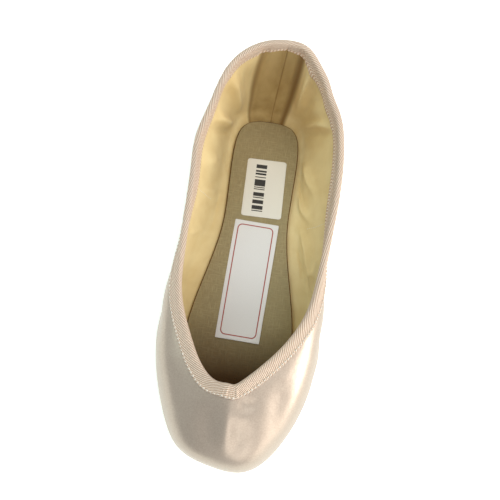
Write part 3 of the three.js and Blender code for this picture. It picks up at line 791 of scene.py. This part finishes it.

# Painted shade of the gap between the insole and the lining, drawn as a dark brown, matt edge on the insole
edge_gap_shade, tree, shader = new_material("insole_edge_gap_shade", Roughness=0.95, Specular_IOR_Level=0.15)
place_in_piece = add_node(tree, "ShaderNodeTexCoord").outputs["Object"]
fibres = add_node(tree, "ShaderNodeTexNoise", {"Vector": place_in_piece, "Scale": 900.0, "Detail": 3.0})
tone = mix_colours(tree, fibres.outputs["Fac"], "#4a3620", "#7d6340")
tree.links.new(tone, shader.inputs["Base Color"])

outline = sole_outline(np.linspace(0, TIP, SLAB_STEPS), INSOLE_LAP)
# the insole's edge carries the painted shade of the gap
insole = slab("linen_insole", outline, INSOLE_BOTTOM, INSOLE_TOP, INSOLE_ROUNDING, [linen, edge_gap_shade])
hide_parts("insole")
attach(insole, "root")

# Woven label
# A white satin-woven label glued along the insole. A thin red border line near its edge is all
# that is woven into it.
LABEL = {
    "width": 25.5, "length": 69.0, "station": 111.5, "offset": 0.0,
    "turn": -1.3, "corner": 0.5, "top": 0.7, "rounding": 0.2}
LABEL_CLEARANCE = 0.02


def label_piece(name, label, material):
    """A thin label with rounded corners on the insole. Its UV map is in mm from its centre."""
    half = np.array([label["length"], label["width"]]) / 2
    corner = label["corner"]
    quarter = np.linspace(0, math.pi / 2, 7)
    side = np.linspace(-1, 1, 40)[1:-1] * (half[0] - corner)
    rise = half[1] - corner + corner * np.sin(quarter)
    outline = np.concatenate([
        [[-half[0], 0]],
        np.column_stack([-half[0] + corner - corner * np.cos(quarter), rise]),
        np.column_stack([side, np.full(len(side), half[1])]),
        np.column_stack([half[0] - corner + corner * np.cos(quarter[::-1]), rise[::-1]]),
        [[half[0], 0]],
    ])
    turn = math.radians(label["turn"])

    def plan(station, out):
        return (label["station"] + station * math.cos(turn) - out * math.sin(turn),
                label["offset"] + station * math.sin(turn) + out * math.cos(turn))

    bottom = INSOLE_TOP + LABEL_CLEARANCE
    piece = slab(name, outline, bottom, INSOLE_TOP + label["top"], label["rounding"], [material], plan)
    centre = place(*(np.array([value]) for value in (*plan(0, 0), 0.0)))[0]
    mesh = piece.data
    points = np.array([vertex.co for vertex in mesh.vertices]) / MM - centre
    flat = np.column_stack([
        points[:, 0] * math.cos(turn) + points[:, 1] * math.sin(turn),
        -points[:, 0] * math.sin(turn) + points[:, 1] * math.cos(turn),
    ])
    corner_of_loop = np.array([loop.vertex_index for loop in mesh.loops])
    mesh.uv_layers["cloth"].data.foreach_set("uv", flat[corner_of_loop].ravel())
    return piece


# Polyester label satin: cool white and smooth, with fine threads across and a soft sheen
label_satin, tree, shader = new_material(
    "white_label_satin", Roughness=0.45, Specular_IOR_Level=0.5, Sheen_Weight=0.2)
place_on_label = add_node(tree, "ShaderNodeUVMap", uv_map="cloth").outputs["UV"]
BORDER_CORNER = 2.6
BORDER_INSET = 2.6
BORDER_WIDTH = 0.55
mirrored = add_node(tree, "ShaderNodeVectorMath", {0: place_on_label}, operation="ABSOLUTE").outputs[0]
corner_centre = [LABEL[side] / 2 - BORDER_INSET - BORDER_CORNER for side in ("width", "length")]
past = add_node(tree, "ShaderNodeVectorMath", {
    0: mirrored, 1: (*corner_centre, 0)}, operation="SUBTRACT").outputs[0]
beyond = add_node(tree, "ShaderNodeVectorMath", {0: past, 1: (0, 0, 0)}, operation="MAXIMUM").outputs[0]
from_corner = add_node(tree, "ShaderNodeVectorMath", {0: beyond}, operation="LENGTH").outputs["Value"]
off_line = maths(tree, "SUBTRACT", from_corner, BORDER_CORNER)
off_size = maths(tree, "ABSOLUTE", off_line)
on_line = add_node(tree, "ShaderNodeMapRange", {
    "Value": off_size, "From Min": BORDER_WIDTH / 2 + 0.12, "From Max": BORDER_WIDTH / 2 - 0.05}).outputs[0]
threads = add_node(tree, "ShaderNodeTexWave", {
    "Vector": place_on_label, "Scale": 0.9, "Distortion": 0.6}, bands_direction="Y")
white = mix_colours(tree, threads.outputs["Fac"], "#dcdad8", "#f1efee")
bordered = mix_colours(tree, on_line, white, "#a5392f")
tree.links.new(bordered, shader.inputs["Base Color"])
raised = add_node(tree, "ShaderNodeBump", {
    "Height": threads.outputs["Fac"], "Strength": 0.15, "Distance": 0.0001})
tree.links.new(raised.outputs["Normal"], shader.inputs["Normal"])

woven_label = label_piece("blank_woven_label", LABEL, label_satin)
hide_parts("woven_label")
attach(woven_label, "root")

# Size sticker
# A paper sticker with round corners on the heel of the insole. Its print is one block of plain
# black bars in a chance order.
STICKER = {
    "width": 23.5, "length": 38.0, "station": 54.5, "offset": 2.0,
    "turn": 1.3, "corner": 1.6, "top": 0.45, "rounding": 0.1}

# Coated paper: off-white, smooth and nearly matt, with flat black print
paper, tree, shader = new_material("coated_sticker_paper", Roughness=0.5, Specular_IOR_Level=0.4)
place_on_label = add_node(tree, "ShaderNodeUVMap", uv_map="cloth").outputs["UV"]
split = add_node(tree, "ShaderNodeSeparateXYZ", {"Vector": place_on_label})
BAR_PITCH = 0.62
BAR_GAPS = 0.4  # share of the steps that stay white
bar_number = maths(tree, "SNAP", split.outputs["Y"], BAR_PITCH)
bar_chance = add_node(tree, "ShaderNodeTexWhiteNoise", {
    "W": bar_number}, noise_dimensions="1D").outputs["Value"]
bar_dark = maths(tree, "GREATER_THAN", bar_chance, BAR_GAPS)
BAR_MIDDLE = -2.6
BAR_HALF_WIDTH = 3.2
BAR_HALF_LENGTH = 15.5
from_middle = maths(tree, "SUBTRACT", split.outputs["X"], BAR_MIDDLE)
across_bar = maths(tree, "ABSOLUTE", from_middle)
along_bars = maths(tree, "ABSOLUTE", split.outputs["Y"])
in_width = maths(tree, "LESS_THAN", across_bar, BAR_HALF_WIDTH)
in_length = maths(tree, "LESS_THAN", along_bars, BAR_HALF_LENGTH)
in_block = maths(tree, "MULTIPLY", in_width, in_length)
ink = maths(tree, "MULTIPLY", in_block, bar_dark)
printed = mix_colours(tree, ink, "#eae6dc", "#3a3836")
tree.links.new(printed, shader.inputs["Base Color"])

size_sticker = label_piece("plain_size_sticker", STICKER, paper)
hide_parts("size_sticker")
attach(size_sticker, "root")

# Stitching
# White cotton thread: one row through the binding along its outer edge, and short rows where
# the quarters are joined inside. Each row is a path with one stitch instanced at every step.
thread, tree, shader = new_material(
    "white_sewing_thread", Roughness=0.7, Specular_IOR_Level=0.3, Sheen_Weight=0.3,
    Base_Color=hex_colour("#efe6da"))


def stitch_tree(material):
    """Geometry nodes that lay one rounded stitch at each step of a path."""
    tree = bpy.data.node_groups.new("stitch_row", "GeometryNodeTree")
    tree.interface.new_socket("Geometry", in_out="INPUT", socket_type="NodeSocketGeometry")
    for name in ("Pitch", "Stitch Length", "Thread Thickness"):
        tree.interface.new_socket(name, in_out="INPUT", socket_type="NodeSocketFloat")
    tree.interface.new_socket("Seed", in_out="INPUT", socket_type="NodeSocketInt")
    tree.interface.new_socket("Geometry", in_out="OUTPUT", socket_type="NodeSocketGeometry")
    given = add_node(tree, "NodeGroupInput").outputs
    path = add_node(tree, "GeometryNodeMeshToCurve", {"Mesh": given["Geometry"]}).outputs[0]
    steps = add_node(tree, "GeometryNodeResampleCurve", {
        "Curve": path, "Length": given["Pitch"]}, mode="LENGTH")
    tangent = add_node(tree, "GeometryNodeInputTangent").outputs[0]
    facing = add_node(tree, "FunctionNodeAlignRotationToVector", {"Vector": tangent}, axis="X").outputs[0]
    ball = add_node(tree, "GeometryNodeMeshUVSphere", {
        "Segments": 8, "Rings": 5, "Radius": 0.5}).outputs[0]
    jitter = add_node(tree, "FunctionNodeRandomValue", {
        "Min": 0.8, "Max": 1.2, "Seed": given["Seed"]}, data_type="FLOAT")
    size = add_node(tree, "ShaderNodeCombineXYZ", {
        "X": given["Stitch Length"], "Y": given["Thread Thickness"],
        "Z": given["Thread Thickness"]}).outputs[0]
    scaled = add_node(tree, "ShaderNodeVectorMath", {
        0: size, "Scale": jitter.outputs[1]}, operation="SCALE").outputs[0]
    laid = add_node(tree, "GeometryNodeInstanceOnPoints", {
        "Points": steps.outputs[0], "Instance": ball, "Rotation": facing, "Scale": scaled}).outputs[0]
    real = add_node(tree, "GeometryNodeRealizeInstances", {"Geometry": laid}).outputs[0]
    dressed = add_node(tree, "GeometryNodeSetMaterial", {"Geometry": real, "Material": material}).outputs[0]
    add_node(tree, "NodeGroupOutput", {0: dressed})
    return tree


STITCH_TREE = stitch_tree(thread)


def stitch_row(name, points, pitch, length, thickness, seed):
    """A row of stitches along points in millimetres, as a plain mesh."""
    mesh = bpy.data.meshes.new(name + "_path")
    mesh.from_pydata((points * MM).tolist(), [(k, k + 1) for k in range(len(points) - 1)], [])
    path = bpy.data.objects.new(name + "_path", mesh)
    bpy.context.scene.collection.objects.link(path)
    rows = path.modifiers.new("stitches", "NODES")
    rows.node_group = STITCH_TREE
    items = STITCH_TREE.interface.items_tree
    sockets = {item.name: item.identifier for item in items if item.in_out == "INPUT"}
    rows[sockets["Pitch"]] = pitch * MM
    rows[sockets["Stitch Length"]] = length * MM
    rows[sockets["Thread Thickness"]] = thickness * MM
    rows[sockets["Seed"]] = seed
    made = bpy.data.meshes.new_from_object(path.evaluated_get(bpy.context.evaluated_depsgraph_get()))
    bpy.data.objects.remove(path)
    made.name = name
    made.polygons.foreach_set("use_smooth", np.ones(len(made.polygons), dtype=bool))
    piece = bpy.data.objects.new(name, made)
    bpy.context.scene.collection.objects.link(piece)
    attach(piece, "root")
    return piece


# The row through the binding lies 1 mm above its free edge
SEAM_RISE = 1.0
SEAM_STAND = 0.3
seam_step = round(SEAM_RISE / TAPE_OUTSIDE * (LEG_STEPS - 1))
seam_line = tape_rings[:, seam_step] + wall_normals[:, -1] * SEAM_STAND
closed_seam = np.concatenate([seam_line, seam_line[:1]])
stitch_row("binding_stitches", closed_seam, pitch=2.1, length=1.3, thickness=0.75, seed=3)

# Two short rows inside, where the quarters join the vamp
RIGHT_JOIN = 5.75
LEFT_JOIN = OTHER - 5.25
JOIN_TOP = 0.74
JOIN_BOTTOM = 0.28
JOIN_POINTS = 30
JOIN_STAND = 0.05
for name, at in (("right_lining_stitches", RIGHT_JOIN), ("left_lining_stitches", LEFT_JOIN)):
    row_shares = np.linspace(JOIN_TOP, JOIN_BOTTOM, JOIN_POINTS)
    row_place = np.array([at])
    depth = wall_thickness(row_place, row_shares) + lining_relief(row_place, row_shares) + JOIN_STAND
    row = draped(row_place, row_shares) - normals(row_place, row_shares) * depth[..., None]
    stitch_row(name, row[0], pitch=1.7, length=1.0, thickness=0.35, seed=5)

# Floor
# A plain white floor just below the sole. It glows faintly, so that the satin's edges reflect
# white as they do in the photograph.
FLOOR_SIZE = 3.0
FLOOR_CLEARANCE = 0.0002
floor_mesh = bpy.data.meshes.new("floor")
corners = [
    (x * FLOOR_SIZE, y * FLOOR_SIZE, -FLOOR_CLEARANCE)
    for x, y in ((-1, -1), (1, -1), (1, 1), (-1, 1))]
floor_mesh.from_pydata(corners, [], [(0, 1, 2, 3)])
floor = bpy.data.objects.new("floor", floor_mesh)
bpy.context.scene.collection.objects.link(floor)
floor_paint, tree, shader = new_material(
    "lit_white_floor", Roughness=0.9, Base_Color=hex_colour("#ffffff"),
    Emission_Color=hex_colour("#eefaf2"), Emission_Strength=0.5)
floor_mesh.materials.append(floor_paint)

# Light
# Plain soft studio light in a dim white surround: a broad warm key and a low light from the
# right, a weak one from the toe, one from above, and a cool fill from the left, which leaves
# the satin's left side greyer.
world = bpy.data.worlds.new("studio")
world.use_nodes = True
world.node_tree.nodes["Background"].inputs["Color"].default_value = hex_colour("#f4f8fc")
world.node_tree.nodes["Background"].inputs["Strength"].default_value = 0.34
bpy.context.scene.world = world
bpy.context.scene.view_settings.view_transform = "Standard"


def far_light(name, towards, strength, spread_degrees, code):
    """A soft light far off in this direction, as wide as the spread."""
    light = bpy.data.lights.new(name, "SUN")
    light.energy = strength
    light.angle = math.radians(spread_degrees)
    light.color = hex_colour(code)[:3]
    lamp = bpy.data.objects.new(name, light)
    lamp.rotation_euler = Vector(towards).to_track_quat("Z", "Y").to_euler()
    bpy.context.scene.collection.objects.link(lamp)


far_light("warm_key", (0.94, -0.13, 0.31), 1.35, 20, "#fff8f0")
far_light("front_light", (0.33, -0.75, 0.58), 0.5, 30, "#fffaf2")
far_light("low_light", (0.84, -0.53, 0.07), 0.9, 40, "#fff6ea")
far_light("top_light", (0.34, 0.12, 0.93), 1.05, 40, "#fffefa")
far_light("cool_fill", (-0.71, 0.22, 0.67), 1.0, 40, "#e2f4ec")

# Camera
# Looks down on the shoe from 420 mm, 13 degrees off straight above on the side of the toe,
# and rolled about 9 degrees, as the photograph is.
CAMERA_DISTANCE = 0.42
CAMERA_TARGET = Vector((0, 0, 0.02))
CAMERA_AZIMUTH = math.radians(-1)
CAMERA_ELEVATION = math.radians(77)
CAMERA_ROLL = math.radians(9.3)
FOCAL_PIXELS = 745.0
FRAME_PIXELS = 500.0
LOW_BY_PIXELS = 10.1
back = Vector((
    math.sin(CAMERA_AZIMUTH) * math.cos(CAMERA_ELEVATION),
    -math.cos(CAMERA_AZIMUTH) * math.cos(CAMERA_ELEVATION),
    math.sin(CAMERA_ELEVATION),
))
level_right = Vector((math.cos(CAMERA_AZIMUTH), math.sin(CAMERA_AZIMUTH), 0))
level_up = back.cross(level_right)
right = math.cos(CAMERA_ROLL) * level_right + math.sin(CAMERA_ROLL) * level_up
upward = back.cross(right)
camera_data = bpy.data.cameras.new("camera")
camera_data.sensor_width = 36
camera_data.lens = FOCAL_PIXELS / FRAME_PIXELS * camera_data.sensor_width
camera_data.shift_y = LOW_BY_PIXELS / FRAME_PIXELS
camera = bpy.data.objects.new("camera", camera_data)
camera.matrix_world = Matrix((right, upward, back)).transposed().to_4x4()
camera.location = CAMERA_TARGET + back * CAMERA_DISTANCE
bpy.context.scene.collection.objects.link(camera)
bpy.context.scene.camera = camera
